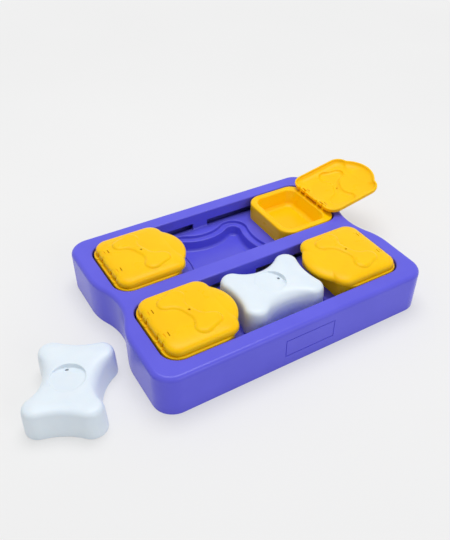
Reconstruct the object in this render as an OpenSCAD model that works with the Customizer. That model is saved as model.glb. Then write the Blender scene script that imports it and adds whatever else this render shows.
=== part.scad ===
// Dog puzzle feeder: a waisted tray with two troughs, four sliding boxes
// with hinged lids, and two lift-off covers that sit in bone-shaped wells.
// Millimetres, +X along the troughs, +Y to the rear, +Z up, z = 0 on the floor.

/* [Tray] */
// overall length of the tray
tray_len = 320; // [300:390]
// overall width of the tray
tray_wid = 240; // [220:290]
// height of the tray
tray_high = 48; // [44:56]
// plan radius of the tray's corners
tray_corner = 22; // [15:30]
// how far each short side is drawn in at its middle
waist_depth = 12; // [6:16]
// half of the drawn-in length of a short side
waist_half = 55; // [45:65]
// rounding of the tray's upper outer edge
rim_round = 5; // [3:7]
// wall and rim thickness of the tray
wall = 3; // [2.5:4]
// width of the rim along the long sides
side_rim = 19; // [16:24]
// width of the rim at the ends
end_rim = 18; // [16:24]
// width of the bar between the troughs
divider = 20; // [16:26]

// length of the plain panel on the front wall
panel_len = 59; // [40:80]
// height of that panel
panel_high = 21; // [16:24]
// place of the panel's middle along the wall
panel_x = 5; // [-40:40]

/* [Troughs] */
// plan radius of a trough's corners
trough_corner = 19; // [14:24]
// depth from the rim to a trough's floor
trough_deep = 21; // [19:25.5]
// skin of a trough and its wells
skin = 2.5; // [2:3]
// chamfer round a trough's mouth
mouth_chamfer = 1.3; // [0.8:2]
// solid web between the two slots of a trough wall
web = 19; // [14:26]
// height of a slot above the trough's floor
slot_high = 8.3; // [7:10]

/* [Wells] */
// gap between a seated cover and the well's outline
well_play = 3.5; // [2:4.5]
// depth of the step that the cover's rim stands on
step_deep = 4.5; // [3:6]
// height of the ridge inside that step
ridge_high = 1.6; // [1:2.5]
// width of the ridge
ridge_wide = 2.2; // [1.8:3]
// depth of the well below the trough's floor
well_deep = 15; // [11:16]
// side of the square well below each box
end_well = 58; // [50:62]

/* [Boxes] */
// gap between a box and each long wall of its trough
box_play = 1; // [0.6:1.5]
// gap between a box and the trough's end
end_gap = 2; // [1.5:4]
// plan radius of a box's corners
box_corner = 18; // [14:22]
// width of the flat rim round the bowl
box_rim = 8; // [6:10]
// extra width of that rim on the hinge side
hinge_rim = 3.5; // [2:5]
// bevel round a box's upper edge
box_edge = 1; // [0.6:1.6]
// skin of a box
box_skin = 2.2; // [1.8:2.6]
// length of a guide tab
tab_len = 16; // [12:20]
// height of a guide tab
tab_high = 6; // [4:7]

/* [Lids] */
// reach of the lid past the box on the finger side
lid_over = 4; // [2:6]
// further reach of the finger lip at its middle
lip = 12; // [8:14]
// inset of the lid from the box's long-wall sides
lid_in = 2; // [1:5]
// height of the lid's crown over the box's rim
lid_high = 9; // [7.5:11]
// skin of a lid
lid_skin = 2.2; // [1.8:2.6]
// rise of the bone figure over the lid
figure_rise = 1.4; // [1:2]
// distance from the hinge to the figure's middle
figure_back = 37.5; // [33:40]
// radius of the hinge rod
rod_r = 1.25; // [1:1.5]
// running gap between the rod and the lid's hooks
rod_gap = 0.3; // [0.2:0.4]
// opening angle of the lid that lies open
open_deg = 169; // [0:169]

/* [Covers] */
// length of a cover over its lobes
cover_len = 95; // [90:115]
// width of a cover over its lobes
cover_wid = 75; // [70:77]
// height of a cover
cover_high = 32; // [28:34]
// plan radius of a cover's four lobes
lobe_r = 14; // [12:16]
// hollow of the two long sides
hollow_deep = 9.5; // [7:11]
// how much deeper the long hollows get towards the top
scoop = 5; // [0:6]
// hollow of the two short sides
hollow_flat = 3.5; // [2:5]
// skin of a cover
cover_skin = 2.2; // [1.8:2.6]
// radius of the finger dish
dish_r = 16.7; // [14:17.5]
// distance of the loose cover's middle from the tray's side
loose_out = 60; // [55:120]
// place of the loose cover's middle across the tray
loose_y = -52; // [-80:0]
// turn of the loose cover
loose_deg = 60; // [0:180]

/* [Hidden] */
cut = 1;                 // how far a cutter runs past a face
lay = 0.01;              // thickness of a disc inside a hull
seat_gap = 0.2;          // air under a piece that stands on another
floor_z = tray_high - trough_deep;
trough_half = tray_len / 2 - end_rim;
trough_wid = (tray_wid - divider) / 2 - side_rim;
trough_y = divider / 2 + trough_wid / 2;
step_wide = well_play + cover_skin + 0.3; // the cover's rim stands between the wall and the ridge
// a box fills what the end gap, the lid's lip and half the cover leave
box_len = trough_half - end_gap - cover_len / 2 - lid_over - lip;
box_wid = trough_wid - 2 * box_play;
box_x = trough_half - end_gap - box_len / 2;
box_z = floor_z + seat_gap;
well_x = box_x - hinge_rim / 2; // wells, bowls and tabs share one middle
slot_end = well_x + tab_len / 2 + 0.5;
split_x = slot_end + 10;
lid_z = tray_high + 0.4;
hinge_u = box_len / 2 - 6;
hinge_z = lid_z + lid_high - 5; // an open lid's crown clears the tray's rim
hook_v = 17.5;           // hooks sit at plus and minus this
hook_wide = 7.2;
ear_wide = 3;
ledge_z = tray_high - 1.5;
ledge_u = hinge_u - 3.8;
violet = [0.42, 0.40, 0.86];
yellow = [1.0, 0.78, 0.03];
white = [0.90, 0.94, 0.97];

// ---------- outlines ----------

function arc(c, r, a0, a1, n) =
    [for (i = [0:n]) let (a = a0 + (a1 - a0) * i / n) c + r * [cos(a), sin(a)]];

// a quarter outline that starts on the +X axis, completed by symmetry
function whole(q) = let (n = len(q) - 1) concat(
    q, [for (i = [n:-1:0]) [-q[i][0], q[i][1]]],
    [for (i = [1:n]) -q[i]], [for (i = [n:-1:1]) [q[i][0], -q[i][1]]]);

// the tray's outline, drawn in by d: corner, convex arc and concave arc run tangent
function tray_ring(d) =
    let (t = 2 * atan(waist_depth / waist_half), r = waist_half / (2 * sin(t)),
         x = tray_len / 2, c = tray_corner)
    whole(concat(
        arc([x - waist_depth + r, 0], r + d, 180, 180 - t, 5),
        [for (i = [1:5]) arc([x - r, waist_half], r - d, -t, 0, 5)[i]],
        arc([x - c, tray_wid / 2 - c], c - d, 0, 90, 8)));

// four lobes joined by two deep and two shallow hollows, drawn in by d
function bone_ring(l, w, r, deep, flat, d) =
    let (a = l / 2 - r, b = w / 2 - r, kd = r - deep, kf = r - flat,
         rd = (kd * kd + a * a - r * r) / (2 * deep), rf = (kf * kf + b * b - r * r) / (2 * flat),
         cy = b + kd + rd, cx = a + kf + rf,
         tf = atan2(b, cx - a), td = atan2(cy - b, a))
    whole(concat(
        arc([cx, 0], rf + d, 180, 180 - tf, 3),
        [for (i = [1:8]) arc([a, b], r - d, -tf, 180 - td, 8)[i]],
        [for (i = [1:4]) arc([0, cy], rd + d, -td, -90, 4)[i]]));

function cover_ring(d, more = 0) = bone_ring(cover_len, cover_wid, lobe_r, hollow_deep + more, hollow_flat, d);
function well_ring(d) = cover_ring(d - well_play);

// a skin through rings that all have the same number of points
module loft(rings, zs) {
    n = len(rings[0]);
    last = (len(rings) - 1) * n;
    polyhedron(
        [for (k = [0:len(rings) - 1]) for (p = rings[k]) [p[0], p[1], zs[k]]],
        concat([[for (i = [0:n - 1]) i]],
               [for (k = [0:len(rings) - 2]) for (i = [0:n - 1])
                   [k * n + i, (k + 1) * n + i, (k + 1) * n + (i + 1) % n, k * n + (i + 1) % n]],
               [[for (i = [n - 1:-1:0]) last + i]]));
}

module round_rect(l, w, r) {
    square([l - 2 * r, w], center = true);
    square([l, w - 2 * r], center = true);
    for (x = [-1, 1], y = [-1, 1]) translate([x * (l / 2 - r), y * (w / 2 - r)]) circle(r, $fn = 64);
}

module slab(l, w, r, z0, z1) {
    translate([0, 0, z0]) linear_extrude(z1 - z0) round_rect(l, w, r);
}

// rounded rectangle that widens from z0 to z1
module funnel(l0, w0, r0, z0, l1, w1, r1, z1, fn = 24) {
    hull() {
        for (x = [-1, 1], y = [-1, 1]) {
            translate([x * (l0 / 2 - r0), y * (w0 / 2 - r0), z0]) cylinder(r = r0, h = lay, $fn = fn);
            translate([x * (l1 / 2 - r1), y * (w1 / 2 - r1), z1 - lay]) cylinder(r = r1, h = lay, $fn = fn);
        }
    }
}

// ---------- tray ----------

// the turns at which the rim's rounding is stepped
rim_turns = [0, 22.5, 45, 67.5, 90];

module tray_skin() {
    loft(concat([tray_ring(0)], [for (t = rim_turns) tray_ring(rim_round * (1 - cos(t)))]),
         concat([0], [for (t = rim_turns) tray_high - rim_round * (1 - sin(t))]));
}

// a straight bar along X from an outline in Y and Z
module bar(outline) {
    rotate([90, 0, 90]) linear_extrude(2 * split_x, center = true) polygon(outline);
}

// wall and rim of a long side between the tray's ends
module long_side() {
    w = tray_wid / 2;
    mouth = trough_y + trough_wid / 2;
    bar(concat([[w, 0]], [for (t = rim_turns) [w - rim_round * (1 - cos(t)), tray_high - rim_round * (1 - sin(t))]],
               [[mouth + mouth_chamfer, tray_high], [mouth, tray_high - mouth_chamfer],
                [mouth, tray_high - wall], [w - wall, tray_high - wall], [w - wall, 0]]));
}

module tray_inside() {
    translate([0, 0, -cut]) linear_extrude(tray_high - wall + cut) polygon(tray_ring(wall));
}

// walls and floor of a trough, up to the rim's underside
module tub() {
    slab(2 * (trough_half + skin), trough_wid + 2 * skin, trough_corner + skin, floor_z - skin, tray_high - wall);
}

// the bone-shaped well that hangs from a trough's floor
module bone_well() {
    translate([0, 0, floor_z - well_deep - skin])
        linear_extrude(well_deep) polygon(well_ring(step_wide + ridge_wide - skin));
    translate([0, 0, floor_z - step_deep - skin])
        linear_extrude(step_deep) polygon(well_ring(-skin));
}

// the square well below a box
module end_cup() {
    slab(end_well + 2 * skin, end_well + 2 * skin, 12 + skin, floor_z - well_deep - skin, floor_z - skin);
}

module mouth_cut() {
    slab(2 * trough_half, trough_wid, trough_corner, floor_z, tray_high + cut);
    funnel(2 * trough_half, trough_wid, trough_corner, tray_high - mouth_chamfer,
           2 * (trough_half + mouth_chamfer + cut), trough_wid + 2 * (mouth_chamfer + cut),
           trough_corner + mouth_chamfer + cut, tray_high + cut, 40);
}

// a step, a ridge along its inner side, and a well that narrows to its floor
module bone_cut() {
    inner = step_wide + ridge_wide;
    difference() {
        translate([0, 0, floor_z - step_deep]) linear_extrude(step_deep + cut) polygon(well_ring(0));
        translate([0, 0, floor_z - step_deep - cut]) linear_extrude(cut + ridge_high) polygon(well_ring(step_wide));
    }
    loft([well_ring(inner + 5.5), well_ring(inner + 3.2), well_ring(inner + 1.8), well_ring(inner), well_ring(inner)],
         [floor_z - well_deep, floor_z - well_deep + 1.5, floor_z - well_deep + 4.5,
          floor_z - step_deep, floor_z - step_deep + ridge_high + cut / 10]);
}

module end_cut(side) {
    translate([side * well_x, 0, 0])
        funnel(end_well - 8, end_well - 8, 8, floor_z - well_deep, end_well, end_well, 12, floor_z + lay);
}

// the slots run through both long walls, from the web to the tab's outer stop
module slots() {
    for (x = [-1, 1], y = [-1, 1])
        translate([x * (web / 2 + slot_end) / 2, y * (trough_wid / 2 + skin / 2), floor_z + slot_high / 2])
            cube([slot_end - web / 2, skin + 2 * cut, slot_high], center = true);
}

// webs that stiffen the hollow underside, clear of the tabs' way
module ribs() {
    thick = 2;
    out = trough_y + trough_wid / 2 + skin;
    low = 8;
    for (x = [-1, 0, 1], y = [-1, 1])
        translate([x * (slot_end + 12) - thick / 2, y > 0 ? out : -tray_wid / 2 + wall / 2, low])
            cube([thick, tray_wid / 2 - wall / 2 - out, tray_high - wall + 1 - low]);
    for (x = [-1, 1], y = [-1, 1])
        translate([x > 0 ? trough_half + skin : -tray_len / 2 + wall / 2, y * (trough_y + 12) - thick / 2, low])
            cube([end_rim - wall / 2 - skin, thick, tray_high - wall + 1 - low]);
    // three webs stand between the troughs, and the middle one reaches the floor
    translate([-wall, -divider / 2 + skin, 0]) cube([2 * wall, divider - 2 * skin, tray_high - wall + 1]);
    for (x = [-1, 1]) translate([x * (slot_end + 12) - thick / 2, -divider / 2 + skin, low])
        cube([thick, divider - 2 * skin, tray_high - wall + 1 - low]);
}

// outer wall, rim and webs of the ends
module tray_form() {
    difference() {
        union() {
            difference() { tray_skin(); tray_inside(); }
            ribs();
        }
        for (y = [-1, 1]) translate([0, y * trough_y, 0]) mouth_cut();
    }
}

// the tray's end at one side
module tray_end(side) {
    color(violet) intersection() {
        tray_form();
        translate([side > 0 ? split_x : -tray_len, -tray_wid, -cut]) cube([tray_len - split_x, 2 * tray_wid, tray_high + 2 * cut]);
    }
}

// the webs between the tray's ends, row 0 being the bar between the troughs
module mid_ribs(row) {
    wide = row == 0 ? trough_y : tray_wid / 2;
    intersection() {
        ribs();
        translate([-split_x, row == 0 ? -wide : min(row * wide, row * trough_y), -cut])
            cube([2 * split_x, row == 0 ? 2 * wide : wide - trough_y, tray_high + 2 * cut]);
    }
}

// a fine groove that frames a plain panel on the front wall
module panel() {
    groove = 0.9;
    translate([panel_x, -tray_wid / 2, tray_high / 2]) difference() {
        cube([panel_len, 1.2, panel_high], center = true);
        cube([panel_len - 2 * groove, 3, panel_high - 2 * groove], center = true);
    }
}

module trough(row) {
    color(violet) translate([0, row * trough_y, 0]) difference() {
        tub();
        slab(2 * trough_half, trough_wid, trough_corner, floor_z, tray_high);
        translate([0, 0, floor_z - skin - cut]) linear_extrude(skin + 2 * cut) polygon(well_ring(0));
        for (side = [-1, 1]) end_cut(side);
        slots();
    }
}

module well(row, side) {
    color(violet) translate([0, row * trough_y, 0]) difference() {
        if (side == 0) bone_well(); else translate([side * well_x, 0, 0]) end_cup();
        if (side == 0) bone_cut(); else end_cut(side);
    }
}

// ---------- boxes ----------

// +X is the hinge side; the boxes at the left are the same one turned half round
module place(side, row) {
    translate([side * box_x, row * trough_y, 0]) rotate([0, 0, side > 0 ? 0 : 180]) children();
}

module along_y(r, v0, v1) {
    translate([hinge_u, v0, hinge_z]) rotate([-90, 0, 0]) cylinder(r = r, h = v1 - v0, $fn = 32);
}

module box_form() {
    top = tray_high;
    bowl_len = box_len - 2 * box_rim - hinge_rim;
    bowl_wid = box_wid - 2 * box_rim;
    mid = -hinge_rim / 2;
    difference() {
        union() {
            slab(box_len, box_wid, box_corner, box_z, top - box_edge);
            funnel(box_len, box_wid, box_corner, top - box_edge - lay,
                   box_len - 2 * box_edge, box_wid - 2 * box_edge, box_corner - box_edge, top, 32);
        }
        // hollow between the outer wall and the bowl, open below
        difference() {
            slab(box_len - 2 * box_skin, box_wid - 2 * box_skin, box_corner - box_skin, box_z - cut, top - box_skin);
            translate([ledge_u - box_skin, -box_wid / 2, ledge_z - box_skin]) cube([box_len, box_wid, box_len]);
            translate([mid, 0, 0]) funnel(bowl_len - 16 + 2 * box_skin, bowl_wid - 16 + 2 * box_skin,
                   10 + box_skin, box_z - 2 * cut,
                   bowl_len + 2 * box_skin, bowl_wid + 2 * box_skin, box_corner - 6 + box_skin, top);
        }
        // the bowl
        translate([mid, 0, 0]) funnel(bowl_len - 16, bowl_wid - 16, 10, box_z + box_skin,
               bowl_len, bowl_wid, box_corner - 6, top + lay);
        // lowered strip under the lid's hinge edge
        translate([ledge_u, -box_wid / 2 - cut, ledge_z]) cube([box_len, box_wid + 2 * cut, box_len]);
    }
    // guide tabs
    for (y = [-1, 1]) translate([mid - tab_len / 2, y > 0 ? box_wid / 2 - box_skin : -box_wid / 2 - 5, box_z + 1])
        cube([tab_len, 5 + box_skin, tab_high]);
    // ears and the rod between them
    for (v = [-1, 1]) {
        along_y(rod_r, v * hook_v - hook_wide / 2 - ear_wide - 0.4, v * hook_v + hook_wide / 2 + ear_wide + 0.4);
        for (e = [-1, 1]) ear(v * hook_v + e * (hook_wide / 2 + 0.4 + ear_wide / 2));
    }
}

module ear(v) {
    along_y(rod_r + 1.05, v - ear_wide / 2, v + ear_wide / 2);
    translate([hinge_u - rod_r - 1.05, v - ear_wide / 2, ledge_z - 1]) {
        cube([2 * rod_r + 1.9, ear_wide, hinge_z - ledge_z + 1]);
        // low foot of the knuckle, under the swing of the open lid
        cube([2 * rod_r + 4.2, ear_wide, hinge_z - 4.3 - (ledge_z - 1)]);
    }
}

// ---------- lids ----------

// the lid's rounded-square body under one hull: levels of [height, inset, thickness]
module pillow(levels) {
    r = 14;
    u0 = -box_len / 2 - lid_over + r;
    u1 = hinge_u + 3 - r;
    v = box_wid / 2 - lid_in - r;
    hull() for (k = levels) {
        // past 6 mm the corners move in instead of tightening
        m = max(k[1] - 6, 0);
        for (u = [u0 + m, u1 - m], s = [-1, 1]) translate([u, s * (v - m), k[0]])
            cylinder(r = r - k[1] + m, h = k[2], $fn = 24);
    }
}

// the finger lip, a lower flange with a round outline
module tongue(levels) {
    lip_r = 40;
    hull() for (k = levels) translate([lip_r - box_len / 2 - lid_over - lip, 0, k[0]])
        cylinder(r = lip_r - k[1], h = k[2], $fn = 40);
}

// the levels of a skin's inner face
function under(levels) = [for (k = levels) [k[0] - lid_skin, k[1] + lid_skin, k[2]]];

// raised bone across the lid: two knobs at each end and a shaft
module bone_figure(rise) {
    top = lid_z + lid_high + rise;
    knob = 32;
    shaft = 15;
    translate([hinge_u - figure_back, 0, 0]) intersection() {
        rotate([0, 0, -69]) union() {
            for (e = [-1, 1], s = [-1, 1]) translate([e * 24.5, s * 6.8, top - knob]) sphere(knob, $fn = 64);
            translate([-25, 0, top - shaft]) rotate([0, 90, 0]) cylinder(r = shaft, h = 50, $fn = 64);
        }
        translate([-44, -44, top - 3.6]) cube([88, 88, 8]);
    }
}

module lid_form() {
    r = rod_r + rod_gap;
    edge = 3;
    t = lid_z + lid_high;
    brow = [[t - 4.4, 0.5, lay], [t - 2.8, 1.9, lay], [t - 1.4, 4.8, lay], [t - 0.4, 11, lay], [t - lay, 24, lay]];
    tip = [[lid_z + 4, 2.2, lay], [lid_z + 5.4, 12, lay]];
    foot = [lid_z - cut, lid_skin, cut + 0.6];
    difference() {
        union() {
            difference() {
                union() {
                    pillow(concat([[lid_z, 0, edge]], brow));
                    tongue(concat([[lid_z, 0, edge - 0.4]], tip));
                }
                pillow(concat([foot], under([brow[0], brow[2], brow[4]])));
                tongue(concat([foot], under(tip)));
            }
            // hooks hang from the roof over the rod
            intersection() {
                pillow(concat([[lid_z + 1, 0, edge - 1]], [brow[1], brow[3]]));
                for (v = [-1, 1]) {
                    along_y(r + 1.1, v * hook_v - hook_wide / 2, v * hook_v + hook_wide / 2);
                    translate([hinge_u - 5, v * hook_v - hook_wide / 2, hinge_z + r])
                        cube([5 + r, hook_wide, 3]);
                }
            }
            bone_figure(figure_rise);
        }
        // bore round the rod, and the snap mouth below it
        for (v = [-1, 1]) {
            along_y(r, v * hook_v - hook_wide / 2 - cut / 2, v * hook_v + hook_wide / 2 + cut / 2);
            translate([hinge_u - 1.1, v * hook_v - hook_wide / 2 - cut / 2, hinge_z - 8])
                cube([2.2, hook_wide + cut, 8]);
            // notches for the ears
            for (e = [-1, 1]) translate([hinge_u - rod_r - 1.6, v * hook_v + e * (hook_wide / 2 + 0.4 + ear_wide / 2) - ear_wide / 2 - 0.4, lid_z - 2])
                cube([12, ear_wide + 0.8, lid_high + 5]);
            // a short slit before each hook, and a shallow one over it
            translate([hinge_u - 7, v * hook_v - 3.1, lid_z]) cube([1, 6.2, lid_high + 2]);
            translate([hinge_u - 3, v * hook_v - 3.1, t - 1.9]) cube([1, 6.2, 3]);
        }
        // the figure is hollow from below, and a small air hole goes through its middle
        bone_figure(figure_rise - lid_skin);
        translate([hinge_u - figure_back, 0, lid_z]) cylinder(r = 1.2, h = lid_high + 5, $fn = 24);
    }
}

// closed at 0, turned outwards by a positive angle
module lid_at(angle) {
    translate([hinge_u, 0, hinge_z]) rotate([0, angle, 0]) translate([-hinge_u, 0, -hinge_z]) lid_form();
}

// ---------- covers ----------

// everything between two heights
module layer(z0, z1) {
    translate([-cover_len, -cover_len, z0]) cube([2 * cover_len, 2 * cover_len, z1 - z0]);
}

module cover_form() {
    h = cover_high;
    s = cover_skin;
    dish = [-1.8, 1];
    // height, inset, and how much of the scoop the hollow has taken on
    levels = [[-cut, 0, 0], [h - 9, 0.8, 0.1], [h - 4, 1.7, 0.62], [h - 1.9, 3.1, 0.85], [h - 0.6, 5, 1], [h, 7.5, 1.05], [h + cut, 12, 1.1]];
    difference() {
        intersection() {
            loft([for (k = levels) cover_ring(k[1], k[2] * scoop)], [for (k = levels) k[0]]);
            layer(0, h);
        }
        difference() {
            intersection() {
                loft([cover_ring(s), cover_ring(s), cover_ring(0.8 + s, 0.3 * scoop), cover_ring(3 + s, 0.85 * scoop), cover_ring(8 + s, 1.05 * scoop)],
                     [-2 * cut, 5, h - 9 - s, h - 1.9 - s, h]);
                layer(-3 * cut, h - s);
            }
            // boss under the dish
            translate([dish[0], dish[1], h - 4.6 - s]) cylinder(r = dish_r + s, h = 12, $fn = 48);
        }
        // finger dish: gentle past its middle, then steeper to the far wall
        intersection() {
            translate([dish[0], dish[1], h - 9]) cylinder(r = dish_r, h = 12, $fn = 64);
            translate([dish[0], 25, h]) rotate([90, 0, 0]) linear_extrude(50)
                polygon([[-19, 3], [-19, -0.3], [5.3, -2.2], [19, -4.8], [19, 3]]);
        }
        translate([10.8, 4.4, h - 12]) cylinder(r = 1.8, h = 20, $fn = 24);
    }
}

module tray_rear() { color(violet) { long_side(); mid_ribs(1); } }
module tray_front() { color(violet) difference() { union() { mirror([0, 1, 0]) long_side(); mid_ribs(-1); } panel(); } }
module tray_middle() {
    d = divider / 2;
    color(violet) {
        bar([[-d, tray_high - wall], [d, tray_high - wall], [d, tray_high - mouth_chamfer], [d - mouth_chamfer, tray_high],
             [mouth_chamfer - d, tray_high], [-d, tray_high - mouth_chamfer]]);
        mid_ribs(0);
    }
}
module tray_left() { tray_end(-1); }
module tray_right() { tray_end(1); }
module trough_rear() { trough(1); }
module trough_front() { trough(-1); }
module well_rear_left() { well(1, -1); }
module well_rear_middle() { well(1, 0); }
module well_rear_right() { well(1, 1); }
module well_front_left() { well(-1, -1); }
module well_front_middle() { well(-1, 0); }
module well_front_right() { well(-1, 1); }
module box_rear_left() { color(yellow) place(-1, 1) box_form(); }
module box_rear_right() { color(yellow) place(1, 1) box_form(); }
module box_front_left() { color(yellow) place(-1, -1) box_form(); }
module box_front_right() { color(yellow) place(1, -1) box_form(); }
module lid_rear_left() { color(yellow) place(-1, 1) lid_at(0); }
module lid_rear_right() { color(yellow) place(1, 1) lid_at(open_deg); }
module lid_front_left() { color(yellow) place(-1, -1) lid_at(0); }
module lid_front_right() { color(yellow) place(1, -1) lid_at(0); }
module cover_seated() {
    color(white) translate([0, -trough_y, floor_z - step_deep + seat_gap]) cover_form();
}
module cover_loose() { color(white) translate([-tray_len / 2 - loose_out, loose_y, 0]) rotate([0, 0, loose_deg]) cover_form(); }

tray_rear();
tray_front();
tray_middle();
tray_left();
tray_right();
trough_rear();
trough_front();
well_rear_left();
well_rear_middle();
well_rear_right();
well_front_left();
well_front_middle();
well_front_right();
box_rear_left();
box_rear_right();
box_front_left();
box_front_right();
lid_rear_left();
lid_rear_right();
lid_front_left();
lid_front_right();
cover_seated();
cover_loose();
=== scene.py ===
import math
import bpy
import bmesh
from mathutils import Matrix, Vector


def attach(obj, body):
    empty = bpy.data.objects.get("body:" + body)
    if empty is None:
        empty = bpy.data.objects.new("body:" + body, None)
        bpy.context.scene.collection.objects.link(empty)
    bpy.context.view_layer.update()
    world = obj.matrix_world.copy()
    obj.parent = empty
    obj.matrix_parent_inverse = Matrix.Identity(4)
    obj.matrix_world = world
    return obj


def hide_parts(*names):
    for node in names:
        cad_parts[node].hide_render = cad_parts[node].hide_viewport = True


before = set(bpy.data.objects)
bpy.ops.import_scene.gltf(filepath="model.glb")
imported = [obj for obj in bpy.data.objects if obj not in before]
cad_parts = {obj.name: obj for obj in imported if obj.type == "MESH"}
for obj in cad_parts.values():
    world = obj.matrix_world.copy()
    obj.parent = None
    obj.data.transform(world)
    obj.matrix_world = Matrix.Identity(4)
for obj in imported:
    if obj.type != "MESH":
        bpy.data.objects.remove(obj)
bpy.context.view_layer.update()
mm = 0.001
mergeGap = 0.01 * mm  # vertices nearer than this become one

# Puzzle feeder: a tray, four sliding boxes with hinged lids and two lift-off covers.
# Sizes in the dictionaries are millimetres, in the part's own frame.


# selecting and shaping

def isolate(obj):
    bpy.ops.object.select_all(action="DESELECT")
    obj.select_set(True)
    bpy.context.view_layer.objects.active = obj


def openEdit(obj):
    isolate(obj)
    bpy.ops.object.mode_set(mode="EDIT")
    bpy.ops.mesh.select_mode(type="VERT")
    bpy.ops.mesh.select_all(action="DESELECT")


def closeEdit():
    bpy.ops.object.mode_set(mode="OBJECT")
    return bpy.context.object


def choose(kind, test):
    # kind is VERT, EDGE or FACE, and test gets the bmesh part itself
    bpy.ops.mesh.select_mode(type=kind)
    bpy.ops.mesh.select_all(action="DESELECT")
    mesh = bpy.context.edit_object.data
    shape = bmesh.from_edit_mesh(mesh)
    for part in {"VERT": shape.verts, "EDGE": shape.edges, "FACE": shape.faces}[kind]:
        if test(part):
            part.select_set(True)
    bmesh.update_edit_mesh(mesh)


def midpoint(edge):
    return (edge.verts[0].co + edge.verts[1].co) / 2


def tidyMesh():
    bpy.ops.mesh.select_mode(type="VERT")
    bpy.ops.mesh.select_all(action="SELECT")
    bpy.ops.mesh.remove_doubles(threshold=mergeGap)
    bpy.ops.mesh.normals_make_consistent(inside=False)


def newBlank(name, z, x=0, y=0, wide=1, deep=1):
    bpy.ops.object.select_all(action="DESELECT")
    bpy.ops.mesh.primitive_plane_add(size=1, location=(x * mm, y * mm, z * mm))
    obj = bpy.context.object
    obj.name = name
    obj.scale = (wide * mm, deep * mm, 1)
    bpy.ops.object.transform_apply(location=True, rotation=True, scale=True)
    return obj


def block(name, low, high, bevel=0):
    # a box between two corners, with its edges eased
    middle = [(a + b) / 2 for a, b in zip(low, high)]
    bpy.ops.object.select_all(action="DESELECT")
    bpy.ops.mesh.primitive_cube_add(size=1, location=[c * mm for c in middle])
    obj = bpy.context.object
    obj.name = name
    obj.scale = [(b - a) * mm for a, b in zip(low, high)]
    bpy.ops.object.transform_apply(location=True, rotation=True, scale=True)
    if bevel:
        openEdit(obj)
        bpy.ops.mesh.select_all(action="SELECT")
        bpy.ops.mesh.bevel(offset=bevel * mm, segments=3, affect="EDGES")
        closeEdit()
    return obj


def roundedPlate(name, length, width, radius, z):
    # a plane whose four corners are rounded
    obj = newBlank(name, z, wide=length, deep=width)
    openEdit(obj)
    bpy.ops.mesh.select_all(action="SELECT")
    bpy.ops.mesh.bevel(offset=radius * mm, segments=14, affect="VERTICES")
    return closeEdit()


def tracePlate(name, start, path, z, flips=((-1, 1, 1), (1, -1, 1))):
    # a quarter outline drawn with spins and straight runs from a point on +X, mirrored to a whole one;
    # path holds ("spin", centre, degrees, steps) and ("run", point)
    obj = newBlank(name, z, start[0], start[1])
    openEdit(obj)
    bpy.ops.mesh.select_all(action="SELECT")
    bpy.ops.mesh.merge(type="CENTER")
    here = Vector((start[0], start[1]))
    for part in path:
        if part[0] == "spin":
            centre, degrees, count = part[1:]
            bpy.ops.mesh.spin(steps=count, angle=-math.radians(degrees), axis=(0, 0, 1),
                              center=(centre[0] * mm, centre[1] * mm, z * mm))
            turn = Matrix.Rotation(math.radians(degrees), 2)
            here = Vector(centre) + turn @ (here - Vector(centre))
        else:
            move = Vector(part[1]) - here
            bpy.ops.mesh.extrude_vertices_move(
                TRANSFORM_OT_translate={"value": (move.x * mm, move.y * mm, 0)})
            here = Vector(part[1])
    for flip in flips:
        bpy.ops.mesh.select_all(action="SELECT")
        bpy.ops.mesh.duplicate()
        bpy.ops.transform.resize(value=flip, center_override=(0, 0, 0))
    bpy.ops.mesh.select_all(action="SELECT")
    bpy.ops.mesh.remove_doubles(threshold=mergeGap)
    bpy.ops.mesh.edge_face_add()
    bpy.ops.mesh.normals_make_consistent(inside=False)
    shape = bmesh.from_edit_mesh(obj.data)
    shape.faces.ensure_lookup_table()
    if shape.faces[0].normal.z < 0:
        bpy.ops.mesh.flip_normals()
    return closeEdit()


def step(inward, up):
    # the chosen face moves in from its edge and up, in mm
    if inward:
        bpy.ops.mesh.inset(thickness=abs(inward) * mm, depth=up * mm, use_even_offset=True)
    else:
        bpy.ops.mesh.extrude_region_move(TRANSFORM_OT_translate={"value": (0, 0, up * mm)})


def steps(profile):
    for inward, up in profile:
        step(inward, up)


def curveSteps(inward, up, count, startFlat):
    # quarter ellipse as steps: startFlat leaves level and ends upright, else the other way round
    points = []
    for i in range(count + 1):
        a = math.pi / 2 * i / count
        if startFlat:
            points.append((inward * math.sin(a), up * (1 - math.cos(a))))
        else:
            points.append((inward * (1 - math.cos(a)), up * math.sin(a)))
    return [(q[0] - p[0], q[1] - p[1]) for p, q in zip(points, points[1:])]


def capOpenRims():
    bpy.ops.mesh.select_mode(type="EDGE")
    bpy.ops.mesh.select_all(action="DESELECT")
    bpy.ops.mesh.select_non_manifold()
    bpy.ops.mesh.edge_face_add()


def modify(obj, kind, **settings):
    isolate(obj)
    change = obj.modifiers.new(kind.title(), kind)
    for name, value in settings.items():
        setattr(change, name, value)
    bpy.ops.object.modifier_apply(modifier=change.name)


def combine(obj, tool, operation):
    modify(obj, "BOOLEAN", operation=operation, solver="EXACT", object=tool)
    bpy.data.objects.remove(tool)


def cut(obj, *tools):
    for tool in tools:
        combine(obj, tool, "DIFFERENCE")


def fuse(obj, *tools):
    for tool in tools:
        combine(obj, tool, "UNION")


def copyOf(obj, name, turn=None, move=(0, 0, 0)):
    isolate(obj)
    bpy.ops.object.duplicate()
    twin = bpy.context.object
    twin.name = name
    twin.data.name = name
    if turn:
        twin.data.transform(turn)
    twin.data.transform(Matrix.Translation(Vector(move) * mm))
    return twin


def halfTurn():
    return Matrix.Rotation(math.pi, 4, "Z")


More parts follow.
